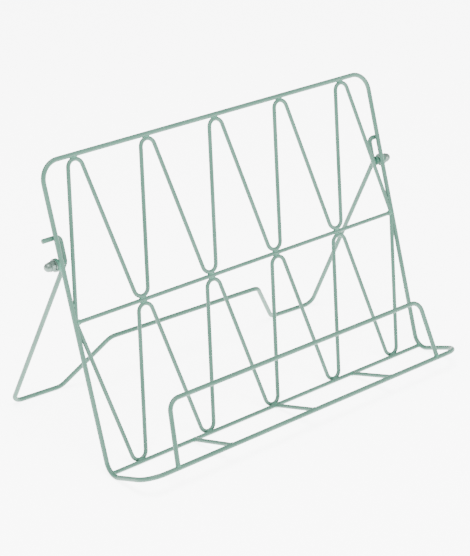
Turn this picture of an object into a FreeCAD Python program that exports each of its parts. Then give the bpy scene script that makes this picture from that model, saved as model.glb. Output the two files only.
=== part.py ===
import math
import os

import FreeCAD
import Part
import Sketcher
from FreeCAD import Placement, Rotation, Vector

# Photo album stand bent and welded from round steel wire, in millimetres.
# X runs left to right, Y runs from the front to the back, and Z is up from the table.
# The origin is on the table, below the foot of the back panel, half way across.

# Driving dimensions: alias, value, what it is.
SIZES = [
    ("frame_wire", 3.5, "diameter of the wire of the main loop and the page guard"),
    ("thin_wire", 3.0, "diameter of the wire of the crossbars, zigzags and shelf ties"),
    ("leg_wire", 3.5, "diameter of the wire of the rear leg"),
    ("frame_width", 300.0, "between the centre-lines of the two side wires"),
    ("panel_height", 220.5, "from the foot of the back panel to its top wire's centre-line"),
    ("panel_lean", 18.0, "degrees that the back panel leans back from upright"),
    ("top_corner_bend", 14.0, "centre-line bend radius of the panel's top corners"),
    ("shelf_bend", 10.0, "centre-line bend radius where the panel turns into the shelf"),
    ("shelf_depth", 47.5, "from the panel's centre plane to the front wire's centre-line"),
    ("shelf_rise", 3.5, "degrees that the shelf arms rise above square to the panel"),
    ("front_corner_bend", 14.0, "centre-line bend radius of the shelf's front corners"),
    ("mid_bar_height", 110.0, "up the panel to the middle crossbar's centre-line"),
    ("bottom_bar_height", 2.4, "up the panel to the bottom crossbar's centre-line"),
    ("bottom_bar_forward", 2.6, "from the panel's plane forward to the bottom crossbar"),
    ("zigzag_pitch", 30.7, "sideways step from one zigzag bend to the next"),
    ("zigzag_bend", 6.0, "centre-line bend radius of the zigzags"),
    ("zigzag_end_inset", 0.86, "from a side wire's centre-line in to a zigzag's end"),
    ("weld_sink", 0.2, "depth that a resistance weld sinks one wire into the next"),
    ("tie_spacing", 77.0, "sideways distance between neighbouring shelf ties"),
    ("guard_base_half", 125.0, "half the distance between the page guard's feet"),
    ("guard_top_half", 119.3, "half the width of the page guard at its top corners"),
    ("guard_height", 46.0, "from the front wire up to the page guard's top wire"),
    ("guard_lean", 3.0, "degrees that the page guard leans towards the panel"),
    ("guard_bend", 9.0, "centre-line bend radius of the page guard's top corners"),
    ("hinge_height", 151.5, "up the panel to the hinge axis"),
    ("leg_inset", 5.4, "from the side wire's centre-line in to the leg wire's"),
    ("leg_angle", 43.6, "degrees between the middle of the open leg and the panel"),
    ("leg_twist", 3.0, "degrees that the left foot stands further back, and the right less"),
    ("leg_rack", 4.1, "how far the feet stand to the left of the hinges"),
    ("foot_half", 140.6, "half the distance between the feet's outer corners"),
    ("foot_inner_half", 99.2, "half the distance between the feet's inner corners"),
    ("foot_bend", 8.0, "centre-line bend radius at both ends of a foot"),
    ("bridge_half", 69.3, "half the width of the leg's raised bridge"),
    ("bridge_rise", 39.9, "height of the leg's raised bridge above its feet"),
    ("bridge_bend", 8.0, "centre-line bend radius of the raised bridge's corners"),
    ("knee_bend", 6.0, "centre-line bend radius where the leg turns at the hinge"),
    ("stop_height", 18.0, "from the hinge axis up to the leg's stop hooks"),
    ("stop_bend", 3.6, "centre-line bend radius of the stop hooks"),
    ("stop_reach_left", 8.5, "from the left side wire's centre-line out to the hook's tip"),
    ("stop_reach_right", 2.0, "from the right side wire's centre-line out to the hook's tip"),
    ("stop_gap", 0.3, "gap between a stop hook and the side wire with the leg open"),
    ("stud_size", 4.0, "diameter of the hinge studs"),
    ("stud_gap", 0.35, "gap between a hinge stud and the side wire it passes behind"),
    ("hinge_clearance", 0.05, "radial running clearance of a stud in its lug"),
    ("side_clearance", 0.2, "sideways clearance of each loose hinge face"),
    ("lug_size", 9.4, "outside diameter of the hinge lugs"),
    ("lug_thickness", 2.0, "thickness of the hinge lugs"),
    ("lug_seat", 0.4, "depth of the groove that seats a lug on its side wire"),
    ("collar_size", 7.0, "outside diameter of the collar between leg and side wire"),
    ("washer_size", 9.0, "outside diameter of the washer under a cap nut"),
    ("washer_thickness", 0.8, "thickness of the washer under a cap nut"),
    ("nut_across_flats", 7.0, "width of a cap nut over two flats"),
    ("nut_hex_height", 3.0, "height of a cap nut's hexagon"),
    ("nut_height", 7.2, "whole height of a cap nut"),
    ("nut_dome_size", 6.4, "diameter of a cap nut's dome"),
    ("nut_bore_depth", 5.0, "depth of a cap nut's bore"),
]

# Dimensions that follow from the ones above: alias, formula, what it is.
FORMULAS = [
    ("half_width", "=frame_width / 2", "side wire's distance from the middle"),
    ("hinge_behind", "=frame_wire / 2 + stud_size / 2 + stud_gap",
     "from the panel's plane back to the hinge axis"),
    ("stop_behind", "=frame_wire / 2 + leg_wire / 2 + stop_gap",
     "from the panel's plane back to the stop hooks"),
    ("bend_centre_height", "=shelf_bend / tan((90 - shelf_rise) / 2 * 1deg)",
     "up the panel to the centre of the shelf bends"),
    ("table_drop", "=shelf_bend - bend_centre_height * cos(panel_lean * 1deg)"
     " - shelf_bend * sin(panel_lean * 1deg)",
     "from the foot of the panel down to the shelf bends' lowest centre-line"),
    ("leg_from_upright", "=leg_angle - panel_lean", "degrees of the open leg from upright"),
    ("leg_half", "=half_width - leg_inset", "leg wire's distance from the middle at the hinge"),
    ("lug_face", "=half_width + frame_wire / 2 - lug_seat", "lug's inner face from the middle"),
    ("washer_face", "=lug_face + lug_thickness + side_clearance", "washer's inner face"),
    ("nut_face", "=washer_face + washer_thickness", "cap nut's inner face"),
    ("stud_end", "=nut_face + nut_bore_depth", "outer end of a stud"),
    ("collar_face", "=leg_half + leg_wire / 2", "collar's inner face"),
    ("collar_length", "=half_width - frame_wire / 2 - side_clearance - collar_face",
     "length of the collar"),
]

doc = FreeCAD.newDocument("album_stand")
sheet = doc.addObject("Spreadsheet::Sheet", "sizes")
for row, (alias, content, note) in enumerate(SIZES + FORMULAS, start=1):
    sheet.set(f"A{row}", note)
    sheet.set(f"B{row}", str(content))
    sheet.setAlias(f"B{row}", alias)
doc.recompute()


def size(alias):
    """The value of a sheet cell, in millimetres or degrees."""
    return float(sheet.get(alias))


LEAN = math.radians(size("panel_lean"))
RAISE = size("table_drop") + size("frame_wire") / 2


def on_panel(x, up, back=0.0):
    """A point given across the stand, up the leaning panel and back from its plane."""
    y = up * math.sin(LEAN) + back * math.cos(LEAN)
    z = up * math.cos(LEAN) - back * math.sin(LEAN) + RAISE
    return Vector(x, y, z)


HINGE = on_panel(0, size("hinge_height"), size("hinge_behind"))
FOOT_DROP = HINGE.z - size("leg_wire") / 2


def on_leg(x, drop):
    """A point of the open leg's centre-line, given across the stand and below the hinge."""
    twist = -size("leg_twist") * x / size("foot_half")
    tilt = math.radians(size("leg_from_upright") + twist)
    rack = size("leg_rack") * drop / FOOT_DROP
    return Vector(x - rack, HINGE.y + drop * math.tan(tilt), HINGE.z - drop)


# ---------------------------------------------------------------- wire forming

def bend(before, corner, after, radius):
    """Start, middle and end of the arc that rounds a corner of a wire's centre-line."""
    to_before = (before - corner).normalize()
    to_after = (after - corner).normalize()
    half_angle = to_before.getAngle(to_after) / 2
    tangent = radius / math.tan(half_angle)
    inward = (to_before + to_after).normalize()
    centre = corner + inward * (radius / math.sin(half_angle))
    return corner + to_before * tangent, centre - inward * radius, corner + to_after * tangent


def centre_line(corners, closed):
    """Straight lines between the corners, with an arc at each corner that has a radius."""
    count = len(corners)
    rounded = []
    for i, (corner, radius) in enumerate(corners):
        if radius:
            before = corners[i - 1][0]
            after = corners[(i + 1) % count][0]
            rounded.append(bend(before, corner, after, radius))
        else:
            rounded.append((corner, None, corner))
    edges = []
    for i, (start, middle, end) in enumerate(rounded):
        if middle:
            edges.append(Part.Arc(start, middle, end).toShape())
        if closed or i < count - 1:
            edges.append(Part.makeLine(end, rounded[(i + 1) % count][0]))
    return Part.Wire(edges)


def bent_wire(label, corners, diameter, closed=False):
    """A round wire bent along its corners: a circle swept along the centre-line."""
    path = doc.addObject("Part::Feature", label + "_path")
    path.Shape = centre_line(corners, closed)
    first = path.Shape.OrderedEdges[0]
    start = first.valueAt(first.FirstParameter)
    along = first.tangentAt(first.FirstParameter)
    section = doc.addObject("Part::Circle", label + "_section")
    section.setExpression("Radius", f"{sheet.Name}.{diameter} / 2")
    section.Placement = Placement(start, Rotation(Vector(0, 0, 1), along))
    wire = doc.addObject("Part::Sweep", label)
    wire.Sections = [section]
    wire.Spine = (path, [f"Edge{i + 1}" for i in range(len(path.Shape.Edges))])
    wire.Solid = True
    return wire


def straight_wire(label, start, end, diameter):
    """A cut length of round wire between two points."""
    rod = doc.addObject("Part::Cylinder", label)
    rod.setExpression("Radius", f"{sheet.Name}.{diameter} / 2")
    rod.Height = (end - start).Length
    rod.Placement = Placement(start, Rotation(Vector(0, 0, 1), end - start))
    return rod


def seated(label, piece, *neighbours):
    """The piece with its welded faces cut to the wires that it sits on."""
    for i, neighbour in enumerate(neighbours):
        name = label if i == len(neighbours) - 1 else f"{label}_seat_{i + 1}"
        cut = doc.addObject("Part::Cut", name)
        cut.Base = piece
        cut.Tool = neighbour
        piece = cut
    doc.recompute()
    return piece


# ---------------------------------------------------------------- main loop

half = size("half_width")
shelf_drop = size("shelf_depth") * math.tan(math.radians(size("shelf_rise")))


def on_front(x, up=0.0, back=0.0):
    """A point given from the front wire's centre-line, in the panel's directions."""
    return on_panel(x, shelf_drop + up, back - size("shelf_depth"))


main_loop = bent_wire("main_loop", [
    (on_panel(-half, 0), size("shelf_bend")),
    (on_panel(-half, size("panel_height")), size("top_corner_bend")),
    (on_panel(half, size("panel_height")), size("top_corner_bend")),
    (on_panel(half, 0), size("shelf_bend")),
    (on_front(half), size("front_corner_bend")),
    (on_front(-half), size("front_corner_bend")),
], "frame_wire", closed=True)

# ---------------------------------------------------------------- crossbars


def crossbar(label, up, back):
    """A straight wire from side to side, cut to seat between the side wires."""
    full = straight_wire(label + "_blank", on_panel(-half, up, back), on_panel(half, up, back),
                         "thin_wire")
    return seated(label, full, main_loop)


bar_back = -size("bottom_bar_forward")
mid_bar = crossbar("mid_crossbar", size("mid_bar_height"), 0)
bottom_bar = crossbar("bottom_crossbar", size("bottom_bar_height"), bar_back)

# ---------------------------------------------------------------- zigzags

PITCH = size("zigzag_pitch")
THIN_PITCH = size("thin_wire") - size("weld_sink")
# An even number of runs, as many as fit the width, so that both ends meet the middle crossbar.
STEPS = 2 * round(size("frame_width") / PITCH / 2)
END_X = half - size("zigzag_end_inset")
SETBACK_PASSES = 20


def bend_setback(height):
    """How far a zigzag's sharp corner lies beyond the centre-line of its rounded bend.

    The corner's place sets the slope of the runs, and their slope sets its place, so the
    setback is worked out again and again until it settles.
    """
    radius = size("zigzag_bend")
    setback = 0.0
    for _ in range(SETBACK_PASSES):
        half_bend = math.atan2(PITCH, height + 2 * setback)
        setback = radius / math.sin(half_bend) - radius
    return setback


def zigzag(label, at_mid_bar, far_side, neighbours):
    """A zigzag between its row of bends on the middle bar and its row on the far side."""
    direction = 1 if far_side > at_mid_bar else -1
    setback = direction * bend_setback(abs(far_side - at_mid_bar))
    near_corner = at_mid_bar - setback
    far_corner = far_side + setback
    corners = [(on_panel(-END_X, size("mid_bar_height")), None)]
    for step in range(1, STEPS):
        x = (step - STEPS / 2) * PITCH
        corners.append((on_panel(x, far_corner if step % 2 else near_corner),
                        size("zigzag_bend")))
    corners.append((on_panel(END_X, size("mid_bar_height")), None))
    blank = bent_wire(label + "_blank", corners, "thin_wire")
    return seated(label, blank, *neighbours)


top_row = (size("panel_height") - (size("frame_wire") + size("thin_wire")) / 2
           + size("weld_sink"))
bottom_row = size("bottom_bar_height") + math.sqrt(THIN_PITCH ** 2 - bar_back ** 2)
upper_zigzag = zigzag("upper_zigzag", size("mid_bar_height") + THIN_PITCH, top_row,
                      [main_loop, mid_bar])
lower_zigzag = zigzag("lower_zigzag", size("mid_bar_height") - THIN_PITCH, bottom_row,
                      [main_loop, mid_bar, upper_zigzag, bottom_bar])

# ---------------------------------------------------------------- page guard and shelf ties

guard_turn = math.radians(size("guard_lean"))
guard_up = size("guard_height") * math.cos(guard_turn)
guard_back = size("guard_height") * math.sin(guard_turn)
guard_blank = bent_wire("page_guard_blank", [
    (on_front(-size("guard_base_half")), None),
    (on_front(-size("guard_top_half"), guard_up, guard_back), size("guard_bend")),
    (on_front(size("guard_top_half"), guard_up, guard_back), size("guard_bend")),
    (on_front(size("guard_base_half")), None),
], "frame_wire")
page_guard = seated("page_guard", guard_blank, main_loop)


def shelf_tie(label, x):
    """A short wire welded between the bottom crossbar and the front wire."""
    blank = straight_wire(label + "_blank", on_panel(x, size("bottom_bar_height"), bar_back),
                          on_front(x), "thin_wire")
    return seated(label, blank, bottom_bar, main_loop, lower_zigzag)


ties = [
    shelf_tie("shelf_tie_left", -size("tie_spacing")),
    shelf_tie("shelf_tie_middle", 0.0),
    shelf_tie("shelf_tie_right", size("tie_spacing")),
]

# ---------------------------------------------------------------- rear leg


def leg_side(side, reach):
    """One side of the leg, from its stop hook down to its half of the raised bridge."""
    leg_x = side * size("leg_half")
    stop_up = size("hinge_height") + size("stop_height")
    return [
        (on_panel(side * (half + reach), stop_up, size("stop_behind")), None),
        (on_panel(leg_x, stop_up, size("stop_behind")), size("stop_bend")),
        (on_leg(leg_x, 0), size("knee_bend")),
        (on_leg(side * size("foot_half"), FOOT_DROP), size("foot_bend")),
        (on_leg(side * size("foot_inner_half"), FOOT_DROP), size("foot_bend")),
        (on_leg(side * size("bridge_half"), FOOT_DROP - size("bridge_rise")),
         size("bridge_bend")),
    ]


left_side = leg_side(-1, size("stop_reach_left"))
right_side = leg_side(1, size("stop_reach_right"))
rear_leg = bent_wire("rear_leg", left_side + right_side[::-1], "leg_wire")

# ---------------------------------------------------------------- hinges


def turned(label, side, inner_face, length, diameter, bore=None):
    """A round part on the hinge axis, with its inner face at a distance from the middle."""
    body = doc.addObject("PartDesign::Body", label)
    origin_plane = next(item for item in body.Origin.OriginFeatures if item.Role == "YZ_Plane")
    sketch = body.newObject("Sketcher::SketchObject", label + "_sketch")
    sketch.AttachmentSupport = [(origin_plane, "")]
    sketch.MapMode = "FlatFace"
    start = inner_face if side > 0 else f"-({inner_face}) - ({length})"
    sketch.AttachmentOffset = Placement(Vector(HINGE.y, HINGE.z, 0), Rotation())
    sketch.setExpression("AttachmentOffset.Base.z", start)
    centre = Vector(0, 0, 0)
    for width in filter(None, [diameter, bore]):
        circle = sketch.addGeometry(Part.Circle(centre, Vector(0, 0, 1), 1), False)
        sketch.addConstraint(Sketcher.Constraint("Coincident", circle, 3, -1, 1))
        index = sketch.addConstraint(Sketcher.Constraint("Radius", circle, 1))
        sketch.setExpression(f"Constraints[{index}]", f"({width}) / 2")
    pad = body.newObject("PartDesign::Pad", label + "_pad")
    pad.Profile = sketch
    pad.setExpression("Length", length)
    doc.recompute()
    return body


def hinge_rod(label, side, inner_face, length, diameter):
    """A plain cylinder on the hinge axis, for cutting and for the studs."""
    rod = doc.addObject("Part::Cylinder", label)
    rod.setExpression("Radius", f"({diameter}) / 2")
    rod.setExpression("Height", length)
    rod.Placement = Placement(HINGE, Rotation(Vector(0, 0, 1), Vector(side, 0, 0)))
    rod.setExpression("Placement.Base.x", f"{side} * ({inner_face})")
    return rod


def cap_nut(label, side):
    """A domed hexagon nut with a blind bore, standing outwards on the hinge axis."""
    outwards = Rotation(Vector(0, 0, 1), Vector(side, 0, 0))
    hexagon = doc.addObject("Part::Prism", label + "_hexagon")
    hexagon.Polygon = 6
    hexagon.setExpression("Circumradius", f"{S}nut_across_flats / 2 / cos(30 * 1deg)")
    hexagon.setExpression("Height", f"{S}nut_hex_height")
    neck = doc.addObject("Part::Cylinder", label + "_neck")
    neck.setExpression("Radius", f"{S}nut_dome_size / 2")
    neck.setExpression("Height", f"{S}nut_height - {S}nut_dome_size / 2")
    dome = doc.addObject("Part::Sphere", label + "_dome")
    dome.setExpression("Radius", f"{S}nut_dome_size / 2")
    for piece in (hexagon, neck, dome):
        piece.Placement = Placement(HINGE, outwards)
    face = f"{side} * {S}nut_face"
    for piece in (hexagon, neck):
        piece.setExpression("Placement.Base.x", face)
    dome.setExpression("Placement.Base.x",
                       f"{face} + {side} * ({S}nut_height - {S}nut_dome_size / 2)")
    solid = doc.addObject("Part::MultiFuse", label + "_solid")
    solid.Shapes = [hexagon, neck, dome]
    bore = hinge_rod(label + "_bore", side, f"{S}nut_face", f"{S}nut_bore_depth",
                     f"{S}stud_size")
    return seated(label, solid, bore)


S = sheet.Name + "."
nodes = [main_loop, mid_bar, bottom_bar, upper_zigzag, lower_zigzag, page_guard, *ties, rear_leg]
for side, name in ((-1, "left"), (1, "right")):
    lug_blank = turned(f"hinge_lug_{name}_blank", side, f"{S}lug_face", f"{S}lug_thickness",
                       f"{S}lug_size", f"{S}stud_size + 2 * {S}hinge_clearance")
    stud_blank = hinge_rod(f"hinge_stud_{name}_blank", side, f"{S}leg_half",
                           f"{S}stud_end - {S}leg_half", f"{S}stud_size")
    nodes += [
        seated(f"hinge_lug_{name}", lug_blank, main_loop),
        seated(f"hinge_stud_{name}", stud_blank, rear_leg),
        turned(f"hinge_collar_{name}", side, f"{S}collar_face", f"{S}collar_length",
               f"{S}collar_size", f"{S}stud_size"),
        turned(f"hinge_washer_{name}", side, f"{S}washer_face", f"{S}washer_thickness",
               f"{S}washer_size", f"{S}stud_size"),
        cap_nut(f"cap_nut_{name}", side),
    ]
doc.recompute()

# ---------------------------------------------------------------- one file for each piece

os.makedirs("parts", exist_ok=True)
for item in doc.Objects:
    if "Invalid" in item.State or "Error" in item.State:
        raise SystemExit(f"{item.Label} did not compute")
for node in nodes:
    if node.Shape.isNull() or not node.Shape.isValid() or len(node.Shape.Solids) != 1:
        raise SystemExit(f"{node.Label} is not one valid solid")
    node.Shape.exportStep(f"parts/{node.Label}.step")
    box = node.Shape.BoundBox
    print(f"{node.Label:22s} solids {len(node.Shape.Solids)} volume {node.Shape.Volume:9.1f}"
          f"  x {box.XMin:7.1f} {box.XMax:7.1f}  y {box.YMin:7.1f} {box.YMax:7.1f}"
          f"  z {box.ZMin:7.1f} {box.ZMax:7.1f}")
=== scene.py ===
import bpy
import math
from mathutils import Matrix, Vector
from mathutils.bvhtree import BVHTree


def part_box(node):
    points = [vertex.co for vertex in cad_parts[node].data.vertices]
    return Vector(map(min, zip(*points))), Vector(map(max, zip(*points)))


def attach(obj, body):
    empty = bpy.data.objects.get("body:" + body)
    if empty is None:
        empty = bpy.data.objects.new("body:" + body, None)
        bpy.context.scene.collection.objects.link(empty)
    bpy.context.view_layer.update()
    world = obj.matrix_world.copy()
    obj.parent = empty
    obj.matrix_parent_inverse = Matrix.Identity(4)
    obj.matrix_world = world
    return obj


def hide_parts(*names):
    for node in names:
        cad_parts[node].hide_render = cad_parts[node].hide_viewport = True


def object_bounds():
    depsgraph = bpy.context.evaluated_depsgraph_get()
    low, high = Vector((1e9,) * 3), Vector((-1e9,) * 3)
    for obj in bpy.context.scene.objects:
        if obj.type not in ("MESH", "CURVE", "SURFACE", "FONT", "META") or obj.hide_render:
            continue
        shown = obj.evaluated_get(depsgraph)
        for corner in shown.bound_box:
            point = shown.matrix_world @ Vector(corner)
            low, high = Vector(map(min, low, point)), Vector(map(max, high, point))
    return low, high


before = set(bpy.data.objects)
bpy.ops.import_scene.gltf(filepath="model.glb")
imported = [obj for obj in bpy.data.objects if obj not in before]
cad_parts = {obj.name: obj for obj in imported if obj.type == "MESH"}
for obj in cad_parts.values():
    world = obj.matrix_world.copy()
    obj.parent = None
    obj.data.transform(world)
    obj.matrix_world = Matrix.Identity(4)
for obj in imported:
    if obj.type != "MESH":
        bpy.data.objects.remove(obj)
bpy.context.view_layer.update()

# ---------------------------------------------------------------- main loop
# One closed loop of thick round steel wire makes the panel's outline and the shelf. After
# welding, the whole stand gets one mint-green powder coat: a thin satin skin with a fine
# orange-peel ripple, a slow drift in thickness and a few specks of dust under it.

coat_effects = bpy.data.node_groups.new("powder_coat_surface", "ShaderNodeTree")
for socket_name, socket_type, default in (
        ("Coordinates", "NodeSocketVector", (0.0, 0.0, 0.0)),
        ("Light Paint", "NodeSocketColor", (0.5, 0.7, 0.6, 1.0)),
        ("Deep Paint", "NodeSocketColor", (0.4, 0.6, 0.5, 1.0)),
        ("Ripple Scale", "NodeSocketFloat", 900.0)):
    socket = coat_effects.interface.new_socket(socket_name, in_out="INPUT", socket_type=socket_type)
    socket.default_value = default
for socket_name, socket_type in (
        ("Colour", "NodeSocketColor"), ("Roughness", "NodeSocketFloat"),
        ("Height", "NodeSocketFloat")):
    coat_effects.interface.new_socket(socket_name, in_out="OUTPUT", socket_type=socket_type)
nodes = coat_effects.nodes
links = coat_effects.links
group_in = nodes.new("NodeGroupInput")
group_out = nodes.new("NodeGroupOutput")

# Slow drift of paint thickness along the wires.
drift = nodes.new("ShaderNodeTexNoise")
drift.inputs["Scale"].default_value = 35.0
drift.inputs["Detail"].default_value = 3.0
links.new(group_in.outputs["Coordinates"], drift.inputs["Vector"])
drift_range = nodes.new("ShaderNodeMapRange")
drift_range.inputs["From Min"].default_value = 0.35
drift_range.inputs["From Max"].default_value = 0.65
links.new(drift.outputs["Fac"], drift_range.inputs["Value"])

# Dust specks under the paint.
specks = nodes.new("ShaderNodeTexVoronoi")
specks.inputs["Scale"].default_value = 260.0
links.new(group_in.outputs["Coordinates"], specks.inputs["Vector"])
speck_mask = nodes.new("ShaderNodeMapRange")
speck_mask.inputs["From Min"].default_value = 0.02
speck_mask.inputs["From Max"].default_value = 0.10
speck_mask.inputs["To Min"].default_value = 1.0
speck_mask.inputs["To Max"].default_value = 0.0
links.new(specks.outputs["Distance"], speck_mask.inputs["Value"])

paint_mix = nodes.new("ShaderNodeMix")
paint_mix.data_type = "RGBA"
links.new(drift_range.outputs["Result"], paint_mix.inputs["Factor"])
links.new(group_in.outputs["Deep Paint"], paint_mix.inputs[6])
links.new(group_in.outputs["Light Paint"], paint_mix.inputs[7])
speck_strength = nodes.new("ShaderNodeMath")
speck_strength.operation = "MULTIPLY"
speck_strength.inputs[1].default_value = 0.35
links.new(speck_mask.outputs["Result"], speck_strength.inputs[0])
speck_mix = nodes.new("ShaderNodeMix")
speck_mix.data_type = "RGBA"
links.new(speck_strength.outputs["Value"], speck_mix.inputs["Factor"])
links.new(paint_mix.outputs[2], speck_mix.inputs[6])
links.new(group_in.outputs["Deep Paint"], speck_mix.inputs[7])
links.new(speck_mix.outputs[2], group_out.inputs["Colour"])

# Orange peel: one fine ripple and one broader swell.
ripple = nodes.new("ShaderNodeTexNoise")
ripple.inputs["Detail"].default_value = 2.0
links.new(group_in.outputs["Coordinates"], ripple.inputs["Vector"])
links.new(group_in.outputs["Ripple Scale"], ripple.inputs["Scale"])
height_sum = nodes.new("ShaderNodeMath")
height_sum.operation = "MULTIPLY_ADD"
height_sum.inputs[1].default_value = 0.6
links.new(ripple.outputs["Fac"], height_sum.inputs[0])
links.new(drift.outputs["Fac"], height_sum.inputs[2])
height_with_specks = nodes.new("ShaderNodeMath")
height_with_specks.operation = "MULTIPLY_ADD"
height_with_specks.inputs[1].default_value = 0.5
links.new(speck_mask.outputs["Result"], height_with_specks.inputs[0])
links.new(height_sum.outputs["Value"], height_with_specks.inputs[2])
links.new(height_with_specks.outputs["Value"], group_out.inputs["Height"])

roughness = nodes.new("ShaderNodeMapRange")
roughness.inputs["To Min"].default_value = 0.38
roughness.inputs["To Max"].default_value = 0.52
links.new(ripple.outputs["Fac"], roughness.inputs["Value"])
links.new(roughness.outputs["Result"], group_out.inputs["Roughness"])


def painted(name, light, deep, ripple_scale):
    """A powder-coated steel material in the given light and deep paint colours."""
    material = bpy.data.materials.new(name)
    material.use_nodes = True
    tree = material.node_tree
    shader = tree.nodes["Principled BSDF"]
    shader.inputs["Coat Weight"].default_value = 0.04
    shader.inputs["Specular IOR Level"].default_value = 0.25
    shader.inputs["Coat Roughness"].default_value = 0.3
    where = tree.nodes.new("ShaderNodeTexCoord")
    surface = tree.nodes.new("ShaderNodeGroup")
    surface.node_tree = coat_effects
    surface.inputs["Light Paint"].default_value = (*light, 1.0)
    surface.inputs["Deep Paint"].default_value = (*deep, 1.0)
    surface.inputs["Ripple Scale"].default_value = ripple_scale
    bump = tree.nodes.new("ShaderNodeBump")
    bump.inputs["Strength"].default_value = 0.25
    bump.inputs["Distance"].default_value = 0.0001
    tree.links.new(where.outputs["Object"], surface.inputs["Coordinates"])
    tree.links.new(surface.outputs["Colour"], shader.inputs["Base Color"])
    tree.links.new(surface.outputs["Roughness"], shader.inputs["Roughness"])
    tree.links.new(surface.outputs["Height"], bump.inputs["Height"])
    tree.links.new(bump.outputs["Normal"], shader.inputs["Normal"])
    return material


thick_paint = painted("mint_powder_coat", (0.043, 0.1083, 0.0786), (0.0327, 0.0921, 0.0654), 900.0)


def coat(node_name, finish):
    """Give one carried-over piece its finish."""
    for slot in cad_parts[node_name].material_slots:
        slot.material = finish


coat("main_loop", thick_paint)

# ---------------------------------------------------------------- crossbars
# Two straight lengths of thinner wire, cut to fit between the side wires. Each end is
# butt-welded and has a small flared fillet of weld metal, painted over with the rest.

thin_paint = painted("mint_powder_coat_thin_wire", (0.0409, 0.1048, 0.0765), (0.0319, 0.0898, 0.0631),
                     1100.0)
# The welds get a lighter green than the wires: painted light that offsets the shade where the beads
# sit in the grooves between wires.
weld_paint_lightened = painted("mint_powder_coat_on_weld_painted_light", (0.0441, 0.1465, 0.0998), (0.0313, 0.1182, 0.0781),
                     650.0)
SEAT_REACH = 0.00012
SPOT_SPREAD = 0.006
FILLET_LENGTH = 0.0016
FILLET_FLARE = 0.00045
FILLET_SINK = 0.0003
FILLET_SIDES = 32
FLARE_RINGS = 6
PAINT_SKIN = 0.00004
LUMP_SPACING = 0.0016


def weld_spots(node_name, neighbour):
    """The middles of the places where one piece is seated on another, from left to right."""
    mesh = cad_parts[neighbour].data
    surface = BVHTree.FromPolygons([v.co for v in mesh.vertices],
                                   [p.vertices for p in mesh.polygons])
    spots = []
    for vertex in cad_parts[node_name].data.vertices:
        if surface.find_nearest(vertex.co, SEAT_REACH)[0] is None:
            continue
        for spot in spots:
            if (spot[0] - vertex.co).length < SPOT_SPREAD:
                spot.append(vertex.co.copy())
                break
        else:
            spots.append([vertex.co.copy()])
    return sorted((sum(s, Vector()) / len(s) for s in spots), key=lambda middle: middle.x)


def lumpy(bead, height):
    """Give a bead the slight unevenness of cooled weld metal, and the weld paint, which is lightened
    as painted light.
    """
    lumps = bpy.data.textures.new(bead.name + "_lumps", "CLOUDS")
    lumps.noise_scale = LUMP_SPACING
    bpy.ops.object.modifier_add(type="DISPLACE")
    bead.modifiers[-1].texture = lumps
    bead.modifiers[-1].texture_coords = "GLOBAL"
    bead.modifiers[-1].strength = height
    bead.modifiers[-1].mid_level = 0.5
    bpy.ops.object.modifier_apply(modifier=bead.modifiers[-1].name)
    bpy.ops.object.shade_smooth()
    bead.data.materials.append(weld_paint_lightened)


def place(bead, middle, along):
    """Turn a bead's own Z to a direction, set it down and fix its place in its mesh."""
    bead.rotation_euler = along.to_track_quat("Z", "Y").to_euler()
    bead.location = middle
    bpy.ops.object.transform_apply(location=True, rotation=True, scale=True)


def end_fillet(name, middle, along, wire_radius, body):
    """A flared collar of weld round the end of a wire that runs off in a direction."""
    bpy.ops.object.select_all(action="DESELECT")
    width = wire_radius + FILLET_FLARE
    bpy.ops.mesh.primitive_circle_add(vertices=FILLET_SIDES, radius=width, fill_type="NGON")
    bead = bpy.context.object
    bead.name = name
    bpy.ops.object.mode_set(mode="EDIT")
    for ring in range(1, FLARE_RINGS + 1):
        next_width = wire_radius + FILLET_FLARE * (1.0 - ring / FLARE_RINGS) ** 2 + PAINT_SKIN
        bpy.ops.mesh.extrude_region_move(
            TRANSFORM_OT_translate={"value": (0.0, 0.0, FILLET_LENGTH / FLARE_RINGS)})
        bpy.ops.transform.resize(value=(next_width / width, next_width / width, 1.0),
                                 center_override=(0.0, 0.0, FILLET_LENGTH * ring / FLARE_RINGS))
        width = next_width
    bpy.ops.mesh.select_all(action="SELECT")
    bpy.ops.mesh.normals_make_consistent(inside=False)
    bpy.ops.object.mode_set(mode="OBJECT")
    place(bead, middle - along.normalized() * FILLET_SINK, along)
    lumpy(bead, 0.00012)
    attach(bead, body)


def crevice_bead(name, middle, along, half_length, half_width, body):
    """A run of weld in the groove where two wires lie against each other."""
    bpy.ops.object.select_all(action="DESELECT")
    bpy.ops.mesh.primitive_uv_sphere_add(segments=24, ring_count=14, radius=half_width)
    bead = bpy.context.object
    bead.name = name
    bead.scale = (1.0, 1.0, half_length / half_width)
    place(bead, middle, along)
    lumpy(bead, 0.00022)
    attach(bead, body)


for node_name in ("mid_crossbar", "bottom_crossbar"):
    coat(node_name, thin_paint)
    left, right = weld_spots(node_name, "main_loop")
    low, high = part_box(node_name)
    bar_radius = (high[2] - low[2]) / 2
    end_fillet(node_name + "_weld_left", left, right - left, bar_radius, "frame")
    end_fillet(node_name + "_weld_right", right, left - right, bar_radius, "frame")

# ---------------------------------------------------------------- zigzags
# Each zigzag is one thin wire bent to and fro. Every bend lies against the top wire or a
# crossbar, and is resistance-welded there, which leaves a short lens of weld in the groove.

ACROSS = Vector((1.0, 0.0, 0.0))
ZIGZAG_BEAD_HALF_LENGTH = 0.0031
ZIGZAG_BEAD_HALF_WIDTH = 0.00125
for node_name, bars in (("upper_zigzag", ("main_loop", "mid_crossbar")),
                        ("lower_zigzag", ("mid_crossbar", "bottom_crossbar"))):
    coat(node_name, thin_paint)
    for bar in bars:
        for number, spot in enumerate(weld_spots(node_name, bar), start=1):
            crevice_bead(f"{node_name}_weld_{bar}_{number}", spot, ACROSS,
                         ZIGZAG_BEAD_HALF_LENGTH, ZIGZAG_BEAD_HALF_WIDTH, "frame")

# ---------------------------------------------------------------- page guard
# A low trapezoid of thick wire that keeps the pages open. Its two feet stand on the front
# wire, each in a flared fillet.

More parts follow.
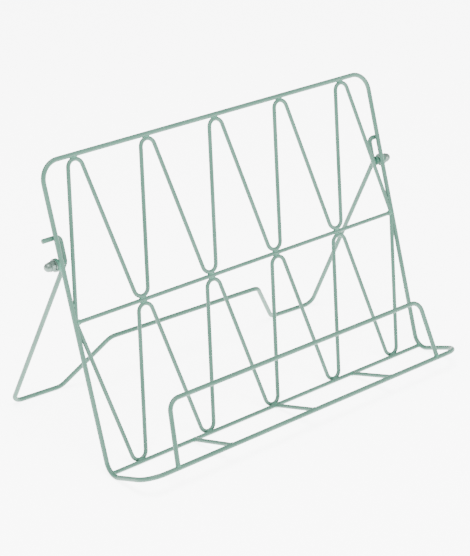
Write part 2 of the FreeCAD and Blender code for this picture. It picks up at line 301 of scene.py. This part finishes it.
THICK_WIRE_RADIUS = 0.00175
NEAR_BEND = 0.020
FAR_BEND = 0.042
coat("page_guard", thick_paint)
guard_vertices = [v.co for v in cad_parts["page_guard"].data.vertices]
for number, foot in enumerate(weld_spots("page_guard", "main_loop"), start=1):
    bend = [co for co in guard_vertices if NEAR_BEND < (co - foot).length < FAR_BEND]
    along = sum(bend, Vector()) / len(bend) - foot
    end_fillet(f"page_guard_weld_{number}", foot, along, THICK_WIRE_RADIUS, "frame")

# ---------------------------------------------------------------- shelf ties
# Three short thin wires carry the album between the bottom crossbar and the front wire.
# Both ends are welded in the same way as the crossbars'.

THIN_WIRE_RADIUS = 0.0015
for node_name in ("shelf_tie_left", "shelf_tie_middle", "shelf_tie_right"):
    coat(node_name, thin_paint)
    back = weld_spots(node_name, "bottom_crossbar")[0]
    front = weld_spots(node_name, "main_loop")[0]
    end_fillet(node_name + "_weld_back", back, front - back, THIN_WIRE_RADIUS, "frame")
    end_fillet(node_name + "_weld_front", front, back - front, THIN_WIRE_RADIUS, "frame")

# ---------------------------------------------------------------- rear leg
# One thick wire bent into both legs, both feet and the raised bridge. Its two hook tips are
# cut square, and the paint draws back from the cut into a shallow dome.

DOME_HEIGHT_SHARE = 0.35
TIP_RADIUS = 0.00176
RIM_REACH = 0.0001
coat("rear_leg", thick_paint)
leg_low, leg_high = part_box("rear_leg")
leg_vertices = [v.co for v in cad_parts["rear_leg"].data.vertices]
for name, side, tip_x in (("left", -1.0, leg_low[0]), ("right", 1.0, leg_high[0])):
    rim = [co for co in leg_vertices if abs(co.x - tip_x) < RIM_REACH]
    middle = sum(rim, Vector()) / len(rim)
    bpy.ops.object.select_all(action="DESELECT")
    bpy.ops.mesh.primitive_uv_sphere_add(segments=32, ring_count=16, radius=TIP_RADIUS)
    dome = bpy.context.object
    dome.name = f"hook_tip_{name}"
    dome.scale = (1.0, 1.0, DOME_HEIGHT_SHARE)
    place(dome, middle, Vector((side, 0.0, 0.0)))
    bpy.ops.object.shade_smooth()
    dome.data.materials.append(thick_paint)
    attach(dome, "leg")

# ---------------------------------------------------------------- hinge lugs, studs and collars
# Drilled round lugs are welded outside the side wires. A stud welded to the leg turns in
# each, with a collar between the leg and the side wire. All are painted with the stand.

hinge_paint = painted("mint_powder_coat_hinge", (0.0323, 0.1036, 0.0709), (0.0238, 0.0847, 0.0565),
                      1200.0)
LUG_BEAD_HALF_LENGTH = 0.0034
LUG_BEAD_HALF_WIDTH = 0.0012
mid_low, mid_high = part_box("mid_crossbar")
bar_middle = (Vector(mid_low) + Vector(mid_high)) / 2
for side_name in ("left", "right"):
    for part in ("lug", "stud", "collar"):
        coat(f"hinge_{part}_{side_name}", hinge_paint)
    spot = weld_spots(f"hinge_lug_{side_name}", "main_loop")[0]
    up_side_wire = Vector((0.0, spot.y - bar_middle.y, spot.z - bar_middle.z))
    crevice_bead(f"hinge_lug_weld_{side_name}", spot, up_side_wire,
                 LUG_BEAD_HALF_LENGTH, LUG_BEAD_HALF_WIDTH, "frame")

# ---------------------------------------------------------------- washers and cap nuts
# They go on after painting, so they stay bare: dull zinc-plated steel with a mottled haze
# and fine turning marks. The nuts are chamfered hexagons with a domed end.

zinc = bpy.data.materials.new("dull_zinc")
zinc.use_nodes = True
tree = zinc.node_tree
shader = tree.nodes["Principled BSDF"]
shader.inputs["Metallic"].default_value = 0.7
where = tree.nodes.new("ShaderNodeTexCoord")
haze = tree.nodes.new("ShaderNodeTexNoise")
haze.inputs["Scale"].default_value = 420.0
haze.inputs["Detail"].default_value = 4.0
tree.links.new(where.outputs["Object"], haze.inputs["Vector"])
haze_colour = tree.nodes.new("ShaderNodeValToRGB")
haze_colour.color_ramp.elements[0].position = 0.35
haze_colour.color_ramp.elements[0].color = (0.060, 0.095, 0.080, 1.0)
haze_colour.color_ramp.elements[1].position = 0.70
haze_colour.color_ramp.elements[1].color = (0.120, 0.165, 0.145, 1.0)
tree.links.new(haze.outputs["Fac"], haze_colour.inputs["Fac"])
tree.links.new(haze_colour.outputs["Color"], shader.inputs["Base Color"])
haze_rough = tree.nodes.new("ShaderNodeMapRange")
haze_rough.inputs["To Min"].default_value = 0.28
haze_rough.inputs["To Max"].default_value = 0.50
tree.links.new(haze.outputs["Fac"], haze_rough.inputs["Value"])
tree.links.new(haze_rough.outputs["Result"], shader.inputs["Roughness"])
turning = tree.nodes.new("ShaderNodeTexWave")
turning.bands_direction = "X"
turning.inputs["Scale"].default_value = 900.0
turning.inputs["Distortion"].default_value = 0.4
tree.links.new(where.outputs["Object"], turning.inputs["Vector"])
turning_bump = tree.nodes.new("ShaderNodeBump")
turning_bump.inputs["Strength"].default_value = 0.12
turning_bump.inputs["Distance"].default_value = 0.00005
tree.links.new(turning.outputs["Fac"], turning_bump.inputs["Height"])
tree.links.new(turning_bump.outputs["Normal"], shader.inputs["Normal"])


HEX_HEIGHT = 0.003
HEX_CHAMFER = 0.0005
DOME_RADIUS = 0.0032
DOME_ROUNDING = 0.97
DOME_SEGMENTS = 12
for side_name, side in (("left", -1.0), ("right", 1.0)):
    coat(f"hinge_washer_{side_name}", zinc)
    low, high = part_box(f"cap_nut_{side_name}")
    middle = (Vector(low) + Vector(high)) / 2
    inner_x = high[0] if side < 0 else low[0]
    nut_length = high[0] - low[0]
    flats = high[1] - low[1]
    corner_radius = flats / 2 / math.cos(math.radians(30.0))
    hex_middle = (inner_x + side * HEX_HEIGHT / 2, middle.y, middle.z)

    # The hexagon, turned so that its corners point up and down.
    bpy.ops.object.select_all(action="DESELECT")
    bpy.ops.mesh.primitive_cylinder_add(vertices=6, radius=corner_radius, depth=HEX_HEIGHT,
                                        location=hex_middle, rotation=(0.0, math.pi / 2, 0.0))
    nut = bpy.context.object
    nut.name = f"domed_nut_{side_name}"
    bpy.ops.transform.rotate(value=math.radians(30.0), orient_axis="X", center_override=hex_middle)
    bpy.ops.object.transform_apply(location=True, rotation=True, scale=True)

    # The chamfer at both faces of the hexagon is cut by a round blank with bevelled rims.
    bpy.ops.object.select_all(action="DESELECT")
    bpy.ops.mesh.primitive_cylinder_add(vertices=72, radius=corner_radius, depth=HEX_HEIGHT,
                                        location=hex_middle, rotation=(0.0, math.pi / 2, 0.0))
    blank = bpy.context.object
    bpy.ops.object.transform_apply(location=True, rotation=True, scale=True)
    bpy.ops.object.modifier_add(type="BEVEL")
    blank.modifiers[-1].width = HEX_CHAMFER
    blank.modifiers[-1].segments = 1
    bpy.ops.object.modifier_apply(modifier=blank.modifiers[-1].name)

    # The dome is a round bar whose outer rim is rounded almost to its middle.
    dome_length = nut_length - HEX_HEIGHT / 2
    dome_middle = (inner_x + side * (HEX_HEIGHT / 2 + dome_length / 2), middle.y, middle.z)
    bpy.ops.object.select_all(action="DESELECT")
    bpy.ops.mesh.primitive_cylinder_add(vertices=48, radius=DOME_RADIUS, depth=dome_length,
                                        location=dome_middle, rotation=(0.0, math.pi / 2, 0.0))
    dome = bpy.context.object
    bpy.ops.object.transform_apply(location=True, rotation=True, scale=True)
    outer_x = inner_x + side * nut_length
    bpy.ops.object.mode_set(mode="EDIT")
    bpy.ops.mesh.select_all(action="DESELECT")
    bpy.ops.object.mode_set(mode="OBJECT")
    for edge in dome.data.edges:
        edge.select = all(abs(dome.data.vertices[i].co.x - outer_x) < 1e-6 for i in edge.vertices)
    bpy.ops.object.mode_set(mode="EDIT")
    bpy.ops.mesh.select_mode(type="EDGE")
    bpy.ops.mesh.bevel(offset=DOME_RADIUS * DOME_ROUNDING, segments=DOME_SEGMENTS, affect="EDGES")
    bpy.ops.object.mode_set(mode="OBJECT")

    bpy.ops.object.select_all(action="DESELECT")
    nut.select_set(True)
    bpy.context.view_layer.objects.active = nut
    for tool, operation in ((blank, "INTERSECT"), (dome, "UNION")):
        bpy.ops.object.modifier_add(type="BOOLEAN")
        nut.modifiers[-1].object = tool
        nut.modifiers[-1].operation = operation
        nut.modifiers[-1].solver = "EXACT"
        bpy.ops.object.modifier_apply(modifier=nut.modifiers[-1].name)
        bpy.data.objects.remove(tool)
    bpy.ops.object.shade_smooth_by_angle(angle=math.radians(28.0))
    nut.data.materials.clear()
    nut.data.materials.append(zinc)
    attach(nut, "leg")
    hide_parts(f"cap_nut_{side_name}")

# ---------------------------------------------------------------- floor, light and camera
# A plain pale table top that runs out of view, a large soft light over the left shoulder,
# a weaker one from the right, and an even pale surround.

low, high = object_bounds()
centre = (Vector(low) + Vector(high)) / 2
bpy.ops.mesh.primitive_plane_add(size=60.0, location=(0.0, 0.0, 0.0))
floor = bpy.context.object
floor.name = "studio_floor"
floor_material = bpy.data.materials.new("studio_floor")
floor_material.use_nodes = True
floor_shader = floor_material.node_tree.nodes["Principled BSDF"]
floor_shader.inputs["Base Color"].default_value = (0.93, 0.93, 0.93, 1.0)
floor_shader.inputs["Roughness"].default_value = 0.9
floor_shader.inputs["Emission Color"].default_value = (1.0, 1.0, 1.0, 1.0)
floor_shader.inputs["Emission Strength"].default_value = 6.0
floor.data.materials.append(floor_material)

surround = bpy.data.worlds.new("studio_surround")
surround.use_nodes = True
surround.node_tree.nodes["Background"].inputs["Color"].default_value = (1.0, 1.0, 1.0, 1.0)
surround.node_tree.nodes["Background"].inputs["Strength"].default_value = 1.5
bpy.context.scene.world = surround


def soft_light(name, place, width, power):
    """A square area light of that width, aimed at the middle of the stand."""
    data = bpy.data.lights.new(name, "AREA")
    data.size = width
    data.energy = power
    light = bpy.data.objects.new(name, data)
    light.location = place
    light.rotation_euler = (centre - Vector(place)).to_track_quat("-Z", "Y").to_euler()
    bpy.context.collection.objects.link(light)


soft_light("key_light", (-0.35, -0.35, 1.7), 0.8, 60)
soft_light("fill_light", (1.3, -0.6, 0.9), 1.2, 8)

camera_data = bpy.data.cameras.new("main_camera")
camera_data.sensor_width = 36.0
camera_data.lens = 115.2
camera_data.dof.use_dof = False
camera = bpy.data.objects.new("main_camera", camera_data)
camera.location = (-0.7628, -0.8560, 0.6373)
camera.rotation_euler = (math.radians(90.0 - 24.95), 0.0, math.radians(-40.27))
bpy.context.collection.objects.link(camera)
bpy.context.scene.camera = camera
